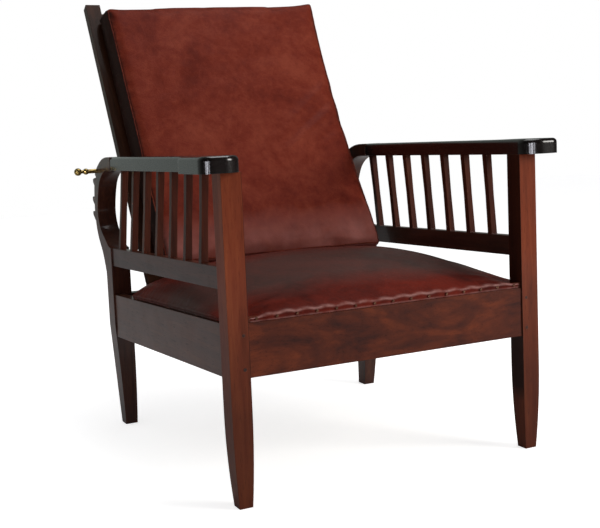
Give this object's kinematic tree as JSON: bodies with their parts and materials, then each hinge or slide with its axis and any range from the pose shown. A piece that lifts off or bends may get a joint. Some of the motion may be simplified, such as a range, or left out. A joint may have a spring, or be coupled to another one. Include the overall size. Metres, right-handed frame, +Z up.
{
  "type": "reclining armchair",
  "caption": "Mission-style reclining armchair: slatted sides, bowed rear legs notched for a brass rod, hinged back, domed leather seat and loose leather back cushion.",
  "frame": {"origin": "on the floor, under the middle of the bounding box", "axes": "+Z up, the front faces -Y, +X is the right as seen from the front"},
  "size_m": [0.78, 0.9534, 0.967],
  "materials": {
    "wood": "gloss",
    "leather": "semi-gloss",
    "brass": "satin",
    "webbing": "matte",
    "stuffing": "matte",
    "steel": "satin"
  },
  "bodies": {
    "frame": {"arm_left": "wood", "arm_rail_left": "wood", "arm_rail_right": "wood", "arm_right": "wood", "front_leg_left": "wood", "front_leg_right": "wood", "front_pegs": "wood", "front_rail": "wood", "hessian": "webbing", "hinge_pins": "steel", "hinge_rail": "wood", "hinge_rail_leaf_left": "steel", "hinge_rail_leaf_right": "steel", "hinge_rail_screws": "steel", "rear_leg_left": "wood", "rear_leg_right": "wood", "rear_rail": "wood", "seat_leather": "leather", "seat_stuffing": "stuffing", "seat_tacks": "brass", "side_rail_left": "wood", "side_rail_right": "wood", "spindle_1_left": "wood", "spindle_1_right": "wood", "spindle_2_left": "wood", "spindle_2_right": "wood", "spindle_3_left": "wood", "spindle_3_right": "wood", "spindle_4_left": "wood", "spindle_4_right": "wood", "spindle_5_left": "wood", "spindle_5_right": "wood", "spindle_6_left": "wood", "spindle_6_right": "wood", "spindle_7_left": "wood", "spindle_7_right": "wood", "webbing_cross_1": "webbing", "webbing_cross_2": "webbing", "webbing_cross_3": "webbing", "webbing_long_1": "webbing", "webbing_long_2": "webbing", "webbing_long_3": "webbing", "webbing_long_4": "webbing"},
    "back": {"back_cushion": "leather", "back_foot_rail": "wood", "back_slat_1": "wood", "back_slat_2": "wood", "back_slat_3": "wood", "back_slat_4": "wood", "back_slat_5": "wood", "back_stile_left": "wood", "back_stile_right": "wood", "back_top_rail": "wood", "hinge_back_leaf_left": "steel", "hinge_back_leaf_right": "steel", "hinge_back_screws": "steel"},
    "rod": {"rod": "brass", "rod_finial_left": "brass", "rod_finial_right": "brass"}
  },
  "joints": [
    {"name": "back_recline", "type": "hinge", "parent": "frame", "child": "back", "pos_m": [0, 0.1007, 0.30474], "axis": [-1, 0, 0], "range_deg": [0, 16.41]},
    {"name": "rod_swing", "type": "hinge", "parent": "frame", "child": "rod", "pos_m": [0, 0.27939, 0.52916], "axis": [-1, 0, 0], "range_deg": [0, 180]}
  ],
  "couplings": [
    {"joint": "rod_swing", "follows": "back_recline", "ratio": 10.97}
  ]
}
